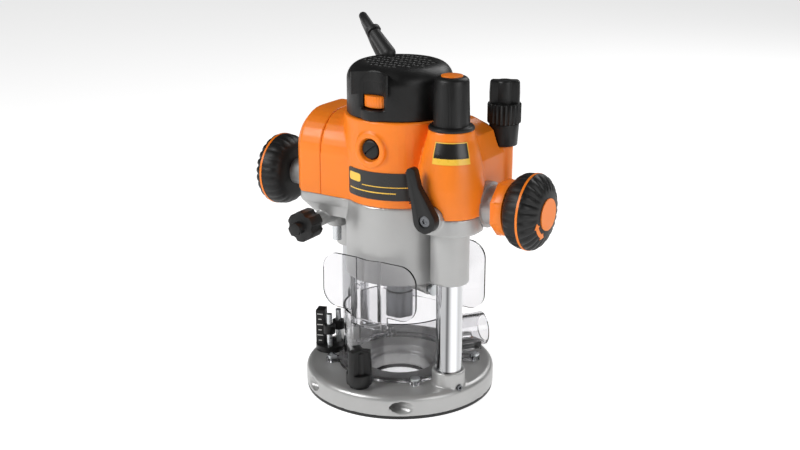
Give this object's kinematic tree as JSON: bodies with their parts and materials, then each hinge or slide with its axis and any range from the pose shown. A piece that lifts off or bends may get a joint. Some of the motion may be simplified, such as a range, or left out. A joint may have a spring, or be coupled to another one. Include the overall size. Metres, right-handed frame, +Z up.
{
  "type": "plunge router",
  "caption": "Twin-column plunge router with round handles, rack-driven depth winder, stop turret, clear guards and a variable-speed motor.",
  "frame": {"origin": "centre of the round sole's underside, on the spindle axis", "axes": "+Z up along the spindle axis, +X towards the winder handle, -Y the front with the speed dial and clear shield"},
  "size_m": [0.3515, 0.4022, 0.3132],
  "materials": {
    "painted_silver": "satin",
    "chrome": "polished",
    "zinc_steel": "satin",
    "dark_steel": "satin",
    "bearing_steel": "ground",
    "clear_plastic": "clear",
    "sole_plastic": "matte",
    "orange_plastic": "satin",
    "black_plastic": "fine texture",
    "soft_grip": "matte",
    "label_print": "satin film",
    "bronze": "machined",
    "brass": "machined",
    "copper": "lacquered",
    "lamination": "lacquered",
    "carbon": "matte",
    "circuit_board": "matte",
    "switch_red": "satin",
    "cord_rubber": "matte"
  },
  "bodies": {
    "base": {"base_casting": "painted_silver", "base_sole": "sole_plastic", "sole_screws": "zinc_steel", "left_column": "chrome", "right_column": "chrome", "column_set_screws": "dark_steel", "front_guard": "clear_plastic", "rear_guard": "clear_plastic", "dust_port": "clear_plastic", "guard_screws": "zinc_steel", "cord_tube": "cord_rubber", "cord_coil": "cord_rubber", "power_plug": "cord_rubber"},
    "fence_clamp": {"fence_knob": "black_plastic"},
    "stop_turret": {"turret_body": "black_plastic", "turret_studs": "zinc_steel", "turret_nuts": "black_plastic"},
    "head": {"head_casting": "painted_silver", "column_bushes": "bronze", "motor_housing": "orange_plastic", "left_cover": "orange_plastic", "housing_screws": "zinc_steel", "end_cap": "black_plastic", "spring_cover": "black_plastic", "spring_cover_disc": "orange_plastic", "brush_caps": "black_plastic", "brush_holders": "brass", "carbon_brushes": "carbon", "field_stack": "lamination", "field_coils": "copper", "motor_bearings": "bearing_steel", "speed_board": "circuit_board", "switch_body": "black_plastic", "handle_spigots": "painted_silver", "left_knob": "soft_grip", "left_knob_band": "orange_plastic", "strain_relief": "cord_rubber", "labels": "label_print", "micro_winder_sleeve": "black_plastic", "plunge_spring": "zinc_steel"},
    "spindle": {"armature_shaft": "dark_steel", "armature_core": "lamination", "commutator": "copper", "cooling_fan": "black_plastic", "collet": "bearing_steel", "collet_nut": "dark_steel"},
    "spindle_lock": {"spindle_lock_pin": "zinc_steel"},
    "switch": {"switch_rocker": "switch_red"},
    "dial": {"speed_dial": "orange_plastic"},
    "winder": {"winder_shaft": "zinc_steel", "right_knob": "soft_grip", "right_knob_band": "orange_plastic", "right_knob_cap": "orange_plastic"},
    "selector": {"selector_ring": "orange_plastic"},
    "lock_lever": {"plunge_lever": "black_plastic", "lock_bolt": "zinc_steel"},
    "micro_adjuster": {"micro_winder_knob": "black_plastic", "micro_winder_spindle": "zinc_steel"},
    "depth_stop": {"depth_rod": "zinc_steel"},
    "depth_clamp": {"depth_knob": "black_plastic"}
  },
  "joints": [
    {"name": "plunge", "type": "slide", "parent": "base", "child": "head", "axis": [0, 0, -1], "range_m": [0, 0.059], "stiffness_N_per_m": 450, "springref_m": -0.22, "deforming": ["plunge_spring"]},
    {"name": "winder_spin", "type": "hinge", "parent": "head", "child": "winder", "pos_m": [0.062, -0.0035, 0.1765], "axis": [1, 0, 0], "range_deg": [-357, 0]},
    {"name": "selector_slide", "type": "slide", "parent": "head", "child": "selector", "axis": [1, 0, 0], "range_m": [-0.005, 0]},
    {"name": "lever_turn", "type": "hinge", "parent": "head", "child": "lock_lever", "pos_m": [0.06, -0.053, 0.172], "axis": [0, -1, 0], "range_deg": [-10, 35]},
    {"name": "spindle_spin", "type": "hinge", "parent": "head", "child": "spindle", "pos_m": [0, 0, 0.1], "axis": [0, 0, 1], "continuous": true},
    {"name": "spindle_lock_press", "type": "slide", "parent": "head", "child": "spindle_lock", "axis": [-0.9424, 0.3344, 0], "range_m": [0, 0.003], "stiffness_N_per_m": 300, "springref_m": -0.002},
    {"name": "switch_rock", "type": "hinge", "parent": "head", "child": "switch", "pos_m": [-0.043, 0.0395, 0.199], "axis": [1, 0, 0], "range_deg": [-12, 0]},
    {"name": "dial_turn", "type": "hinge", "parent": "head", "child": "dial", "pos_m": [0, -0.029, 0.2575], "axis": [0, 0, 1], "range_deg": [-150, 150]},
    {"name": "micro_turn", "type": "hinge", "parent": "head", "child": "micro_adjuster", "pos_m": [0.0797, 0.0338, 0.24], "axis": [0, 0, 1], "continuous": true},
    {"name": "depth_slide", "type": "slide", "parent": "head", "child": "depth_stop", "axis": [0, 0, 1], "range_m": [-0.006, 0.03]},
    {"name": "depth_clamp_turn", "type": "hinge", "parent": "head", "child": "depth_clamp", "pos_m": [-0.06, -0.05, 0.1475], "axis": [0, -1, 0], "range_deg": [-180, 180]},
    {"name": "turret_turn", "type": "hinge", "parent": "base", "child": "stop_turret", "pos_m": [-0.064, -0.015, 0.02], "axis": [0, 0, 1], "continuous": true},
    {"name": "fence_clamp_turn", "type": "hinge", "parent": "base", "child": "fence_clamp", "pos_m": [0.0025, -0.068, 0.02], "axis": [0, 0, 1], "range_deg": [-180, 180]}
  ],
  "couplings": [
    {"joint": "winder_spin", "follows": "plunge", "rad_per_m": -105.26}
  ]
}
